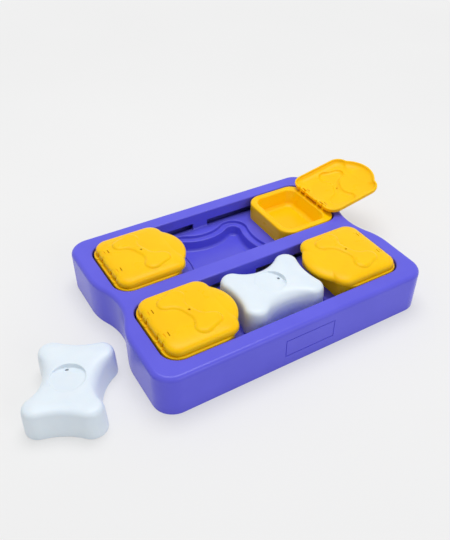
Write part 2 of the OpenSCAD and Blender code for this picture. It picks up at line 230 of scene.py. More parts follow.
def smoothOver(obj, degrees):
    isolate(obj)
    bpy.ops.object.shade_smooth_by_angle(angle=math.radians(degrees), keep_sharp_edges=False)
    modify(obj, "WEIGHTED_NORMAL", keep_sharp=True, weight=90)


# tray

trayShape = {
    "length": 320, "width": 240, "height": 48,
    "corner": 22, "waistDepth": 12, "waistHalf": 55,
    "rimRound": 5, "footRound": 0.6, "wall": 3, "skin": 2.5,
    "troughHalf": 142, "troughWidth": 91, "troughCorner": 19, "troughDepth": 21, "troughY": 55.5,
    "mouthRound": 1.6, "floorRound": 2.0,
    "slotHigh": 8.3, "slotFrom": 9.5, "slotTo": 108.5, "slotRound": 0.5,
    "wellDepth": 15, "stepDepth": 4.5, "ridgeHigh": 1.8, "wellPlay": 3.5, "coverGap": 0.3,
    # roundings in and down, from the middle well's edge to its floor
    "wellEdge": 1.3, "stepFoot": 1.2, "ridgeToe": (0.6, 0.7), "ridgeBrow": (1.1, 1.3), "wellTaper": 0.9,
    "wellFoot": (4.2, 4), "cupInset": 2.2,
    "endWell": 58, "endWellX": 100, "endWellCorner": 12, "endWellEdge": 1, "endWellLean": 3, "endWellFoot": 3,
    # ribs below the rim: half their thickness, their foot's height, and how far past the slots and troughs
    "ribHalf": 1, "ribFoot": 8, "ribPast": 12,
    "middleWeb": (3, 8),  # half its thickness, and how far it reaches to each side
    "panelX": [-24.5, 34.5], "panelZ": [13.5, 34.5], "panelLine": [0.9, 0.6],
    "smoothTo": 32,
}

# here and not with the covers' own code, because the wells below follow the same outline
coverShape = {
    "length": 95, "width": 75, "lobe": 14, "longHollow": 9.5, "shortHollow": 3.5, "scoop": 5,
    # height, inset, and how much of the scoop the long hollows have taken on
    "outside": [(0, 0.4, 0), (0.4, 0, 0), (12, 0.3, 0), (20, 0.6, 0.04), (24, 0.9, 0.2), (26.6, 1.3, 0.42),
                (28.4, 1.9, 0.64), (29.7, 2.8, 0.8), (30.6, 4, 0.92), (31.2, 5.6, 1), (31.6, 7.6, 1.04),
                (31.85, 10, 1.05), (32, 12.6, 1.05)],
    "inside": [(-1, 2.2, 0), (5, 2.2, 0), (20.8, 3, 0.3), (27.6, 5.2, 0.85), (29.4, 9, 1)],
    "dishAt": (-1.8, 1), "dishRadius": 16.7, "dishDepths": [0.5, 2.2, 4.8], "crease": 5.3, "skin": 2.2,
    "airHole": [1.7, 10.8, 4.4], "airHoleDeep": 14,
    "seatedAt": (0, -55.5, 22.7), "looseAt": (-220, -52, 0), "looseTurn": 60,
    "voxel": 0.5, "soften": 6, "keep": 0.4,
}


def trayPlate(name, inset, z):
    t = trayShape
    turn = 2 * math.degrees(math.atan(t["waistDepth"] / t["waistHalf"]))
    radius = t["waistHalf"] / (2 * math.sin(math.radians(turn)))
    side, corner = t["length"] / 2, t["corner"]
    start = (side - t["waistDepth"] - inset, 0)
    return tracePlate(name, start, [
        ("spin", (side - t["waistDepth"] + radius, 0), -turn, 8),
        ("spin", (side - radius, t["waistHalf"]), turn, 8),
        ("run", (side - inset, t["width"] / 2 - corner)),
        ("spin", (side - corner, t["width"] / 2 - corner), 90, 14),
        ("run", (0, t["width"] / 2 - inset)),
    ], z)


def bonePlate(name, grow, z, deeper=0):
    # four lobes joined by two deep and two shallow hollows
    c = coverShape
    longHollow = c["longHollow"] + deeper
    a, b = c["length"] / 2 - c["lobe"], c["width"] / 2 - c["lobe"]
    deep, shallow = c["lobe"] - longHollow, c["lobe"] - c["shortHollow"]
    deepRadius = (deep ** 2 + a ** 2 - c["lobe"] ** 2) / (2 * longHollow)
    shallowRadius = (shallow ** 2 + b ** 2 - c["lobe"] ** 2) / (2 * c["shortHollow"])
    deepY, shallowX = b + deep + deepRadius, a + shallow + shallowRadius
    shallowTurn = math.degrees(math.atan2(b, shallowX - a))
    deepTurn = math.degrees(math.atan2(deepY - b, a))
    return tracePlate(name, (shallowX - shallowRadius + grow, 0), [
        ("spin", (shallowX, 0), -shallowTurn, 7),
        ("spin", (a, b), 180 - deepTurn + shallowTurn, 20),
        ("spin", (0, deepY), -(90 - deepTurn), 9),
    ], z)


def sinkTool(plate, profile):
    # turns an outline into a closed solid that narrows downwards
    openEdit(plate)
    choose("FACE", lambda f: True)
    steps(profile)
    capOpenRims()
    tidyMesh()
    return closeEdit()


def prism(plate, down):
    return sinkTool(plate, [(0, -down)])


def troughTool():
    t = trayShape
    over = 2 * t["mouthRound"]
    plate = roundedPlate("trough", 2 * t["troughHalf"] + over, t["troughWidth"] + over,
                         t["troughCorner"] + t["mouthRound"], t["height"] + 1)
    wallRun = t["troughDepth"] - t["mouthRound"] - t["floorRound"]
    return sinkTool(plate, [(0, -1)]
                    + curveSteps(t["mouthRound"], -t["mouthRound"], 5, True) + [(0, -wallRun)]
                    + curveSteps(t["floorRound"], -t["floorRound"], 5, False))


def boneWellTool():
    t = trayShape
    floor = t["height"] - t["troughDepth"]
    edge, foot = t["wellEdge"], t["stepFoot"]
    (toe, toeRise), (brow, innerBrow), (floorIn, floorDown) = t["ridgeToe"], t["ridgeBrow"], t["wellFoot"]
    ledgeWide = t["wellPlay"] + coverShape["skin"] + t["coverGap"]
    plate = bonePlate("boneWell", t["wellPlay"] + edge, floor + 1)
    drop = t["stepDepth"] - edge - foot
    wellDrop = t["wellDepth"] - t["stepDepth"] + t["ridgeHigh"]
    return sinkTool(plate, [(0, -1)] + curveSteps(edge, -edge, 4, True) + [(0, -drop)]
                    + curveSteps(foot, -foot, 4, False) + [(ledgeWide - foot - toe, 0)]
                    + curveSteps(toe, toeRise, 3, True)
                    + curveSteps(brow, t["ridgeHigh"] - toeRise, 4, False)
                    + curveSteps(innerBrow, -innerBrow, 4, True)
                    + [(t["wellTaper"], -(wellDrop - innerBrow - floorDown))]
                    + curveSteps(floorIn, -floorDown, 6, False))


def endWellTool(x):
    t = trayShape
    edge, foot = t["endWellEdge"], t["endWellFoot"]
    wide = t["endWell"] + 2 * edge
    plate = roundedPlate("endWell", wide, wide, t["endWellCorner"] + edge, t["height"] - t["troughDepth"] + 1)
    tool = sinkTool(plate, [(0, -1)] + curveSteps(edge, -edge, 3, True)
                    + [(t["endWellLean"], -t["wellDepth"] + edge + foot)]
                    + curveSteps(foot, -foot, 5, False))
    tool.data.transform(Matrix.Translation((x * mm, 0, 0)))
    return tool


def ribs(top):
    # what is left standing in the hollow underside, besides the tubs
    t = trayShape
    half, foot, past = t["ribHalf"], t["ribFoot"], t["ribPast"]
    webHalf, webReach = t["middleWeb"]
    slotEnd = t["slotTo"] + past
    out = t["troughY"] + t["troughWidth"] / 2 + t["skin"] / 2
    webs = [block("web", (-webHalf, -webReach, 0), (webHalf, webReach, top))]
    for x in [-slotEnd, slotEnd]:
        webs.append(block("web", (x - half, -webReach, foot), (x + half, webReach, top)))
    for x in [-slotEnd, 0, slotEnd]:
        for side in [-1, 1]:
            ends = sorted([side * out, side * (t["width"] / 2 - 1)])
            webs.append(block("web", (x - half, ends[0], foot), (x + half, ends[1], top)))
    for side in [-1, 1]:
        for y in [-t["troughY"] - past, t["troughY"] + past]:
            ends = sorted([side * (t["troughHalf"] + 1), side * (t["length"] / 2 - 1)])
            webs.append(block("web", (ends[0], y - half, foot), (ends[1], y + half, top)))
    return webs


def tubOutside(top, floor):
    # a trough seen from below, with the three wells that hang from it
    t = trayShape
    skin = t["skin"]
    tub = prism(roundedPlate("tub", 2 * (t["troughHalf"] + skin), t["troughWidth"] + 2 * skin,
                             t["troughCorner"] + skin, top), top - floor + skin)
    cups = [prism(bonePlate("seat", t["wellPlay"] + skin, floor - 1), t["stepDepth"] + skin - 1),
            prism(bonePlate("deep", -t["cupInset"], floor - 1), t["wellDepth"] + skin - 1)]
    wide = t["endWell"] + 2 * skin
    for x in [-t["endWellX"], t["endWellX"]]:
        cup = prism(roundedPlate("cup", wide, wide, t["endWellCorner"] + 2, floor - 1),
                    t["wellDepth"] + skin - 1)
        cup.data.transform(Matrix.Translation((x * mm, 0, 0)))
        cups.append(cup)
    fuse(tub, *cups)
    return tub


def slotTools(floor):
    t = trayShape
    wall, tools = t["troughWidth"] / 2, []
    for x in [-1, 1]:
        for y in [-1, 1]:
            ends = sorted([x * t["slotFrom"], x * t["slotTo"]])
            across = sorted([y * (wall - 1), y * (wall + t["skin"] + 1)])
            tools.append(block("slot", (ends[0], across[0], floor + 0.01),
                               (ends[1], across[1], floor + t["slotHigh"]), bevel=t["slotRound"]))
    return tools


def panelLineTool():
    # fine line round a plain panel on the front wall
    t = trayShape
    (x0, x1), (z0, z1), (line, depth) = t["panelX"], t["panelZ"], t["panelLine"]
    front, half = -t["width"] / 2, line / 2
    tool = block("panelLine", (x0 - half, front - 2, z0 - half), (x1 + half, front + depth, z1 + half))
    cut(tool, block("inside", (x0 + half, front - 3, z0 + half), (x1 - half, front + 2, z1 - half)))
    return tool


def makeTray():
    t = trayShape
    floor = t["height"] - t["troughDepth"]
    shell = trayPlate("tray", 0, 0)
    openEdit(shell)
    choose("FACE", lambda f: True)
    step(0, t["height"])
    tidyMesh()
    choose("EDGE", lambda e: midpoint(e).z > (t["height"] - 0.1) * mm)
    bpy.ops.mesh.bevel(offset=t["rimRound"] * mm, segments=8, affect="EDGES")
    choose("EDGE", lambda e: midpoint(e).z < 0.1 * mm)
    bpy.ops.mesh.bevel(offset=t["footRound"] * mm, segments=2, affect="EDGES")
    closeEdit()

    # hollow underside, less what hangs from the rim
    hollow = trayPlate("hollow", t["wall"], t["height"] - t["wall"])
    prism(hollow, t["height"] + 1)
    top = t["height"] - t["wall"] + 1
    cut(hollow, *ribs(top))
    for row in [-1, 1]:
        tub = tubOutside(top, floor)
        tub.data.transform(Matrix.Translation((0, row * t["troughY"] * mm, 0)))
        cut(hollow, tub)
    cut(shell, hollow)

    # troughs, wells and slots from above
    for row in [-1, 1]:
        tools = [troughTool(), boneWellTool()]
        tools += [endWellTool(x) for x in [-t["endWellX"], t["endWellX"]]] + slotTools(floor)
        for tool in tools:
            tool.data.transform(Matrix.Translation((0, row * t["troughY"] * mm, 0)))
        cut(shell, *tools)
    cut(shell, panelLineTool())
    return shell


# boxes

boxShape = {
    "length": 76.5, "width": 89, "corner": 18, "edge": 2.2, "bottom": 27.2, "top": 48,
    "rimFlat": 4, "hingeRim": 3.5, "innerEdge": 2.4, "skin": 2.2,
    # bowl: height of its floor, how far its walls lean in, and the round at their foot
    "bowlFloor": 29.4, "bowlLean": 3.4, "bowlFoot": 6.5,
    "ledgeFrom": 28.6, "ledgeTop": 47.1, "ledgeSlope": 0.8,
    # tab: length, how far it stands out, height, lift over the box's foot, rounding; and its root in the wall
    "tab": [16, 5, 6, 1, 0.6], "tabRoot": 1.5,
    "hinge": [32.25, 52.4], "rod": 1.25, "rodShort": 0.2, "hookAt": 17.5, "hookWide": 7.2, "hookGap": 0.4,
    # ear that holds the rod: thickness, round, and how far its stem stays behind the rod's middle
    "ear": 3, "earRound": 2.2, "earBack": 0.4, "earRoot": 1,
    # knuckle at the ear's foot: how far out, its top, and its rounding
    "knuckle": [5.6, 48, 0.4],
    "centre": [101.75, 55.5], "smoothTo": 32,
}


def scaleIn(size, inward, up):
    # like step, but the ring keeps its proportions, so that its corners stay round;
    # size is its length, its width and where its middle is along X
    bpy.ops.mesh.extrude_region_move(TRANSFORM_OT_translate={"value": (0, 0, up * mm)})
    factors = [(side - 2 * inward) / side for side in size[:2]]
    bpy.ops.transform.resize(value=(factors[0], factors[1], 1), center_override=(size[2] * mm, 0, 0))
    size[0], size[1] = size[0] - 2 * inward, size[1] - 2 * inward


def openBelow(z):
    # the plate that the walls grew from is taken out
    choose("FACE", lambda f: all(v.co.z < (z + 0.01) * mm for v in f.verts))
    bpy.ops.mesh.delete(type="FACE")


def uprightBar(name, radius, x, y, z0, z1, count):
    bpy.ops.object.select_all(action="DESELECT")
    bpy.ops.mesh.primitive_cylinder_add(vertices=count, radius=radius * mm, depth=(z1 - z0) * mm,
                                        location=(x * mm, y * mm, (z0 + z1) / 2 * mm))
    bar = bpy.context.object
    bar.name = name
    bpy.ops.object.transform_apply(location=True, rotation=True, scale=True)
    return bar


def dishTool(radius, top, depths, crease):
    # round cutter whose foot falls gently to a crease, then faster
    near, middle, far = depths
    foot = top - 9  # for now, below every depth
    tool = uprightBar("dish", radius, 0, 0, foot, top + 3, 96)
    openEdit(tool)
    bpy.ops.mesh.select_all(action="SELECT")
    bpy.ops.mesh.bisect(plane_co=(crease * mm, 0, 0), plane_no=(1, 0, 0))
    mesh = bmesh.from_edit_mesh(tool.data)
    for v in mesh.verts:
        if v.co.z < (foot + 1) * mm:
            x = v.co.x / mm
            if x < crease:
                depth = near + (middle - near) * (x + radius) / (radius + crease)
            else:
                depth = middle + (far - middle) * (x - crease) / (radius - crease)
            v.co.z = (top - depth) * mm
    bmesh.update_edit_mesh(tool.data)
    return closeEdit()


def barAlongY(name, radius, v0, v1, x, z, count=24):
    bpy.ops.object.select_all(action="DESELECT")
    bpy.ops.mesh.primitive_cylinder_add(vertices=count, radius=radius * mm, depth=(v1 - v0) * mm,
                                        location=(x * mm, (v0 + v1) / 2 * mm, z * mm),
                                        rotation=(math.pi / 2, 0, 0))
    bar = bpy.context.object
    bar.name = name
    bpy.ops.object.transform_apply(location=True, rotation=True, scale=True)
    return bar


def boxTabs():
    b = boxShape
    long, out, high, lift, ease = b["tab"]
    middle, foot, tabs = -b["hingeRim"] / 2, b["bottom"] + lift, []
    for side in [-1, 1]:
        ends = sorted([side * (b["width"] / 2 - b["tabRoot"]), side * (b["width"] / 2 + out)])
        tabs.append(block("tab", (middle - long / 2, ends[0], foot),
                          (middle + long / 2, ends[1], foot + high), bevel=ease))
    return tabs


def hingeEars():
    # two ears and a rod between them for each hook of the lid
    b = boxShape
    hingeX, hingeZ = b["hinge"]
    out, high, ease = b["knuckle"]
    parts = []
    for at in [-b["hookAt"], b["hookAt"]]:
        reach = b["hookWide"] / 2 + b["ear"] + b["hookGap"]
        for end in [-1, 1]:
            v = at + end * (b["hookWide"] / 2 + b["hookGap"] + b["ear"] / 2)
            low, top = v - b["ear"] / 2, v + b["ear"] / 2
            # each part a hair wider than the last, so that no faces coincide
            ear = block("ear", (hingeX - b["earRound"], low, b["ledgeTop"] - b["earRoot"]),
                        (hingeX - b["earBack"], top, hingeZ))
            fuse(ear, barAlongY("earTop", b["earRound"], low - 0.01, top + 0.01, hingeX, hingeZ, 48),
                 block("knuckle", (hingeX, low - 0.02, b["ledgeTop"] - b["earRoot"] - 0.2),
                       (hingeX + out, top + 0.02, high), bevel=ease))
            parts.append(ear)
        parts.append(barAlongY("rod", b["rod"], at - reach + b["rodShort"], at + reach - b["rodShort"],
                               hingeX, hingeZ))
    return parts


def makeBox():
    # hinge side at +X, in the middle of the frame
    b = boxShape
    body = roundedPlate("box", b["length"], b["width"], b["corner"], b["bottom"])
    openEdit(body)
    choose("FACE", lambda f: True)
    step(0, b["top"] - b["edge"] - b["bottom"])
    steps(curveSteps(b["edge"], b["edge"], 6, False))
    step(b["rimFlat"], 0)
    # the rim is wider towards the hinge
    rimWide = b["edge"] + b["rimFlat"]
    inside = b["length"] - 2 * rimWide
    bpy.ops.transform.resize(value=((inside - b["hingeRim"]) / inside, 1, 1), center_override=(0, 0, 0))
    bpy.ops.transform.translate(value=(-b["hingeRim"] / 2 * mm, 0, 0))
    size = [inside - b["hingeRim"], b["width"] - 2 * rimWide, -b["hingeRim"] / 2]
    for inward, down in curveSteps(b["innerEdge"], -b["innerEdge"], 6, True):
        scaleIn(size, inward, down)
    fall = b["top"] - b["innerEdge"] - b["bowlFloor"]
    foot = b["bowlFoot"]
    for _ in range(2):
        scaleIn(size, b["bowlLean"] / 2, -(fall - foot) / 2)
    for inward, down in curveSteps(foot, -foot, 8, False):
        scaleIn(size, inward, down)
    openBelow(b["bottom"])
    # lowered strip under the lid's hinge edge
    for x in [b["ledgeFrom"] - b["ledgeSlope"], b["ledgeFrom"]]:
        bpy.ops.mesh.select_all(action="SELECT")
        bpy.ops.mesh.bisect(plane_co=(x * mm, 0, 0), plane_no=(1, 0, 0))
    choose("VERT", lambda v: v.co.x > (b["ledgeFrom"] - 0.01) * mm and v.co.z > b["ledgeTop"] * mm)
    bpy.ops.transform.resize(value=(1, 1, 0), center_override=(0, 0, b["ledgeTop"] * mm))
    bpy.ops.mesh.select_all(action="SELECT")
    bpy.ops.mesh.remove_doubles(threshold=2 * mergeGap)
    closeEdit()
    modify(body, "SOLIDIFY", thickness=b["skin"] * mm, offset=-1, use_even_offset=True)

    fuse(body, *boxTabs(), *hingeEars())
    return body


# lids

lidShape = {
    "left": -42.25, "right": 35.25, "half": 42.5, "corner": 14,
    "bottom": 48.4, "skirt": 2.8, "skin": 2.2,
    # how far in from the edge, and how high over the skirt
    "crown": [(0.15, 0.9), (0.5, 1.8), (0.95, 2.55), (1.6, 3.2), (2.5, 3.85), (3.6, 4.4), (5.2, 4.9),
              (7, 5.3), (10, 5.7), (14, 6), (19, 6.15), (24, 6.2)],
    # finger lip: radius, its centre, blend into the body, and its own rise; root and half width in the body
    "lip": [40, -14.25, 8], "lipRoot": 10, "lipHalf": 31.75, "lipSkirt": 2.4,
    "lipCrown": [(0.3, 0.9), (0.8, 1.7), (1.6, 2.4), (2.8, 3.1), (4.5, 3.8), (7, 4.5), (10, 5), (14, 5.3)],
    "figureAt": -5.25, "figureTop": 59.6, "figureTurn": -69, "figureRoot": 2, "figureEdge": [4.8, 2.6],
    # bone: how far out and aside its knobs are, their radius, the dip between them; shaft and its fillet
    "knob": [24.5, 6.8, 9.4, 0.4], "shaft": [5.4, 14],
    # distance from the hinge, length and width of the slits, the second one shallow
    "slits": [6.5, 2.5, 6.2, 0.9], "grooveFloor": 55.5, "airHole": 1.3,
    # hook: play round the rod, wall, its root's reach, foot and top, and its mouth's half width and depth
    "borePlay": 0.3, "hookWall": 1.2, "hookRoot": [4, 0.4, 3], "hookMouth": [1.1, 6],
    # play over and beside the ears, and heights that cutters start and end at, clear of the lid
    "earPlay": [0.3, 0.25], "below": 40, "above": 60,
    "voxel": 0.45, "soften": 5, "keep": 0.45, "openAngle": 169, "smoothTo": 40,
}


def riseBy(size, profile):
    last = (0, 0)
    for inward, rise in profile:
        scaleIn(size, inward - last[0], rise - last[1])
        last = (inward, rise)


def lipPlate(skin, z):
    # half drawn from inside the body, round the blend and the lip, then mirrored
    k = lidShape
    radius, middle, blend = k["lip"]
    radius -= skin
    blend += skin
    edge = k["left"] + skin
    reach = middle - edge + blend
    v = math.sqrt((radius + blend) ** 2 - reach ** 2)
    turn = math.degrees(math.atan2(v, reach))
    return tracePlate("lip", (k["lipRoot"], 0), [
        ("run", (k["lipRoot"], v)),
        ("run", (edge, v)),
        ("spin", (edge - blend, v), -turn, 7),
        ("spin", (middle, 0), turn, 10),
    ], z, flips=[(1, -1, 1)])


def lidSolid(name, skin):
    # body and finger lip as one closed solid, drawn in by the skin for the inside
    k = lidShape
    foot = k["bottom"] - (2 if skin else 0)  # the inside runs out through the open foot
    left, right, half = k["left"] + skin, k["right"] - skin, k["half"] - skin
    size = [right - left, 2 * half, (left + right) / 2]
    body = roundedPlate(name, size[0], size[1], k["corner"] - skin, foot)
    body.data.transform(Matrix.Translation((size[2] * mm, 0, 0)))
    openEdit(body)
    choose("FACE", lambda f: True)
    step(0, k["bottom"] + k["skirt"] - skin - foot)
    riseBy(size, k["crown"])
    tidyMesh()
    closeEdit()
    lip = lipPlate(skin, foot)
    openEdit(lip)
    choose("FACE", lambda f: True)
    step(0, k["bottom"] + k["lipSkirt"] - skin - foot)
    radius, middle = k["lip"][:2]
    tip, root = middle - radius + skin, k["lipRoot"]
    riseBy([root - tip, 2 * k["lipHalf"], (tip + root) / 2], k["lipCrown"])
    tidyMesh()
    closeEdit()
    fuse(body, lip)
    return body


def boneFigure(drop):
    # two knobs at each end of a shaft, run together by fillets, lying across the lid
    k = lidShape
    far, aside, wide, dip = k["knob"]
    shaft, fillet = k["shaft"]
    lean = math.degrees(math.asin((shaft + fillet - aside) / (wide + fillet)))
    waist = far - (wide + fillet) * math.cos(math.radians(lean))
    inward, rise = k["figureEdge"]
    foot = k["figureTop"] - drop - rise - k["figureRoot"]
    figure = tracePlate("figure", (far + wide - dip, 0), [
        ("run", (far + wide, aside)),
        ("spin", (far, aside), 180 - lean, 18),
        ("spin", (waist, shaft + fillet), lean - 90, 9),
        ("run", (0, shaft)),
    ], foot)
    openEdit(figure)
    choose("FACE", lambda f: True)
    step(0, k["figureRoot"])
    steps(curveSteps(inward, rise, 7, False))
    tidyMesh()
    closeEdit()
    figure.data.transform(Matrix.Translation((k["figureAt"] * mm, 0, 0))
                          @ Matrix.Rotation(math.radians(k["figureTurn"]), 4, "Z"))
    return figure


def joinAll(objects):
    bpy.ops.object.select_all(action="DESELECT")
    for obj in objects:
        obj.select_set(True)
    bpy.context.view_layer.objects.active = objects[0]
    bpy.ops.object.join()
    return objects[0]


def oneMoulding(obj, look):
    # fine cells, eased, then thinned where it is flat
    modify(obj, "REMESH", mode="VOXEL", voxel_size=look["voxel"] * mm, adaptivity=0)
    modify(obj, "SMOOTH", factor=0.5, iterations=look["soften"])
    modify(obj, "DECIMATE", ratio=look["keep"])


def addHook(lid, outline, at):
    # a hook that clips over the rod, kept inside the lid's own outline
    k, b = lidShape, boxShape
    hingeX, hingeZ = b["hinge"]
    bore, half = b["rod"] + k["borePlay"], b["hookWide"] / 2
    wide, (reach, foot, top), (mouth, deep) = bore + k["hookWall"], k["hookRoot"], k["hookMouth"]
    hook = barAlongY("hook", wide, at - half, at + half, hingeX, hingeZ, 48)
    fuse(hook, block("root", (hingeX - reach, at - half, hingeZ + foot),
                     (hingeX + wide, at + half, hingeZ + top)))
    combine(hook, copyOf(outline, "trim"), "INTERSECT")
    fuse(lid, hook)
    cut(lid, barAlongY("bore", bore, at - half - 1, at + half + 1, hingeX, hingeZ, 48),
        block("mouth", (hingeX - mouth, at - half - 1, hingeZ - deep),
              (hingeX + mouth, at + half + 1, hingeZ)))


def earGaps(at):
    # room for the ears as the lid turns over them, open past the lid's edge
    k, b = lidShape, boxShape
    hingeX, hingeZ = b["hinge"]
    over, side = k["earPlay"]
    gaps = []
    for end in [-1, 1]:
        v = at + end * (b["hookWide"] / 2 + b["hookGap"] + b["ear"] / 2)
        gaps.append(block("earGap", (hingeX - b["earRound"] - over, v - b["ear"] / 2 - side, k["below"]),
                          (hingeX + 10, v + b["ear"] / 2 + side, hingeZ + b["earRound"] + over)))
    return gaps


def slitTools(at):
    k, hingeX = lidShape, boxShape["hinge"][0]
    through, shallow, long, wide = k["slits"]
    tools = []
    for name, back, foot in [("slit", through, k["bottom"]), ("groove", shallow, k["grooveFloor"])]:
        tools.append(block(name, (hingeX - back - wide / 2, at - long / 2, foot),
                           (hingeX - back + wide / 2, at + long / 2, k["above"])))
    return tools


def makeLid():
    k, b = lidShape, boxShape
    lid = lidSolid("lid", 0)
    outline = copyOf(lid, "outline")
    cut(lid, lidSolid("inside", k["skin"]))
    fuse(lid, boneFigure(0))
    cut(lid, boneFigure(k["skin"]))

    gaps = []
    for at in [-b["hookAt"], b["hookAt"]]:
        addHook(lid, outline, at)
        gaps += earGaps(at) + slitTools(at)
    gaps.append(uprightBar("airHole", k["airHole"], k["figureAt"], 0, k["bottom"], k["above"], 32))
    bpy.data.objects.remove(outline)
    oneMoulding(lid, k)
    cut(lid, joinAll(gaps))
    smoothOver(lid, k["smoothTo"])
    return lid


# covers

def stackPlates(plates):
    # skins outlines of the same make, lowest first, into one closed solid
    heights = [plate.data.vertices[0].co.z for plate in plates]
    solid = joinAll(plates)
    openEdit(solid)
    bpy.ops.mesh.select_mode(type="FACE")
    bpy.ops.mesh.select_all(action="SELECT")
    bpy.ops.mesh.delete(type="ONLY_FACE")

    def level(edge, *wanted):
        return any(all(abs(v.co.z - z) < 0.001 * mm for v in edge.verts) for z in wanted)
    for low, high in zip(heights, heights[1:]):
        choose("EDGE", lambda e: level(e, low, high))
        bpy.ops.mesh.bridge_edge_loops()
    for end in [heights[0], heights[-1]]:
        choose("EDGE", lambda e: level(e, end))
        bpy.ops.mesh.edge_face_add()
    tidyMesh()
    return closeEdit()


def boneSolid(name, rings):
    return stackPlates([bonePlate(name, -inset, z, share * coverShape["scoop"]) for z, inset, share in rings])


def makeCover():
    c = coverShape
    cover, inside = boneSolid("cover", c["outside"]), boneSolid("inside", c["inside"])
    top, r = c["outside"][-1][0], c["dishRadius"]
    x, y = c["dishAt"]
    bossFoot = top - c["dishDepths"][2] - c["skin"]
    cut(inside, uprightBar("boss", r + c["skin"], x, y, bossFoot, top + 2, 96))
    cut(cover, inside)
    dish = dishTool(r, top, c["dishDepths"], c["crease"])
    dish.data.transform(Matrix.Translation((x * mm, y * mm, 0)))
    cut(cover, dish)
    holeR, holeX, holeY = c["airHole"]
    cut(cover, uprightBar("airHole", holeR, holeX, holeY, top - c["airHoleDeep"], top + 4, 32))
    oneMoulding(cover, c)
    isolate(cover)
    bpy.ops.object.shade_smooth()
    return cover


# making each piece once, and copies where they go

trayPiece = makeTray()
smoothOver(trayPiece, trayShape["smoothTo"])
trayPiece.name = "trayMoulding"
print("tray", len(trayPiece.data.polygons), "faces")

boxPiece = makeBox()
smoothOver(boxPiece, boxShape["smoothTo"])
lidPiece = makeLid()
coverPiece = makeCover()
print("box, lid and cover", [len(o.data.polygons) for o in (boxPiece, lidPiece, coverPiece)], "faces")

centreX, centreY = boxShape["centre"]
hingeX, hingeZ = boxShape["hinge"]
boxes, lids = {}, {}
for row, sideY in {"rear": 1, "front": -1}.items():
    for side, sideX in {"left": -1, "right": 1}.items():
        spot = row + "_" + side
        turn = halfTurn() if sideX < 0 else None
        place = (sideX * centreX, sideY * centreY, 0)
        boxes[spot] = copyOf(boxPiece, "box" + row.title() + side.title(), turn, place)
        if spot == "rear_right":
            # stands open, folded back over the tray's rim
            axis = Vector((hingeX, 0, hingeZ)) * mm
            turn = (Matrix.Translation(axis) @ Matrix.Rotation(math.radians(lidShape["openAngle"]), 4, "Y")
                    @ Matrix.Translation(-axis))
        lids[spot] = copyOf(lidPiece, "lid" + row.title() + side.title(), turn, place)

coverSeated = copyOf(coverPiece, "coverSeated", None, coverShape["seatedAt"])
coverLoose = copyOf(coverPiece, "coverLoose", Matrix.Rotation(math.radians(coverShape["looseTurn"]), 4, "Z"),
                    coverShape["looseAt"])
for first in [boxPiece, lidPiece, coverPiece]:
    bpy.data.objects.remove(first)
print("copies placed")


# finishes

def linear(code):
    parts = [int(code[i:i + 2], 16) / 255 for i in (1, 3, 5)]
    return [p / 12.92 if p <= 0.04045 else ((p + 0.055) / 1.055) ** 2.4 for p in parts] + [1]


def addNode(tree, kind, place, settings=None, links=None):
    node = tree.nodes.new(kind)
    node.location = place
    for name, value in (settings or {}).items():
        if isinstance(name, str) and hasattr(node, name):
            setattr(node, name, value)
        else:
            node.inputs[name].default_value = value
    for name, source in (links or {}).items():
        tree.links.new(source, node.inputs[name])
    return node


def newMaterial(name):
    material = bpy.data.materials.new(name)
    material.use_nodes = True
    tree = material.node_tree
    tree.nodes.clear()
    return material, tree


def mouldedPlastic(name, look):
    # injection moulded, so even in colour, with a faint cloud where the melt cooled unevenly,
    # a spark-eroded grain that breaks up the gloss, and slight sink over large flat areas
    material, tree = newMaterial(name)
    place = addNode(tree, "ShaderNodeTexCoord", (-1100, 0)).outputs["Object"]
    cloud = addNode(tree, "ShaderNodeTexNoise", (-850, 250),
                    {"Scale": 1 / (look["cloudMm"] * mm), "Detail": 3, "Roughness": 0.5}, {"Vector": place})
    tone = addNode(tree, "ShaderNodeValToRGB", (-600, 250), {}, {"Fac": cloud.outputs["Fac"]})
    for stop, (at, code) in zip(tone.color_ramp.elements, look["tones"]):
        stop.position = at
        stop.color = linear(code)
    gloss = addNode(tree, "ShaderNodeTexNoise", (-850, -50),
                    {"Scale": 1 / (look["smearMm"] * mm), "Detail": 4, "Roughness": 0.6}, {"Vector": place})
    low, high = look["roughness"]
    rough = addNode(tree, "ShaderNodeMapRange", (-600, -50),
                    {"From Min": 0.3, "From Max": 0.7, "To Min": low, "To Max": high},
                    {"Value": gloss.outputs["Fac"]})
    sink = addNode(tree, "ShaderNodeTexNoise", (-850, -350),
                   {"Scale": 1 / (look["sinkMm"] * mm), "Detail": 1}, {"Vector": place})
    grain = addNode(tree, "ShaderNodeTexNoise", (-850, -600),
                    {"Scale": 1 / (look["grainMm"] * mm), "Detail": 3, "Roughness": 0.6}, {"Vector": place})
    wave = addNode(tree, "ShaderNodeBump", (-600, -350),
                   {"Strength": 1, "Distance": look["sinkDeepMm"] * mm}, {"Height": sink.outputs["Fac"]})
    bump = addNode(tree, "ShaderNodeBump", (-350, -450),
                   {"Strength": 1, "Distance": look["grainDeepMm"] * mm},
                   {"Height": grain.outputs["Fac"], "Normal": wave.outputs["Normal"]})
    shader = addNode(tree, "ShaderNodeBsdfPrincipled", (-100, 100),
                     {"IOR": look["ior"], "Specular IOR Level": look["shine"],
                      "Subsurface Weight": look["glow"],
                      "Subsurface Radius": look["glowReach"], "Subsurface Scale": look["glowMm"] * mm},
                     {"Base Color": tone.outputs["Color"], "Roughness": rough.outputs["Result"],
                      "Normal": bump.outputs["Normal"]})
    addNode(tree, "ShaderNodeOutputMaterial", (250, 100), {}, {"Surface": shader.outputs["BSDF"]})
    return material


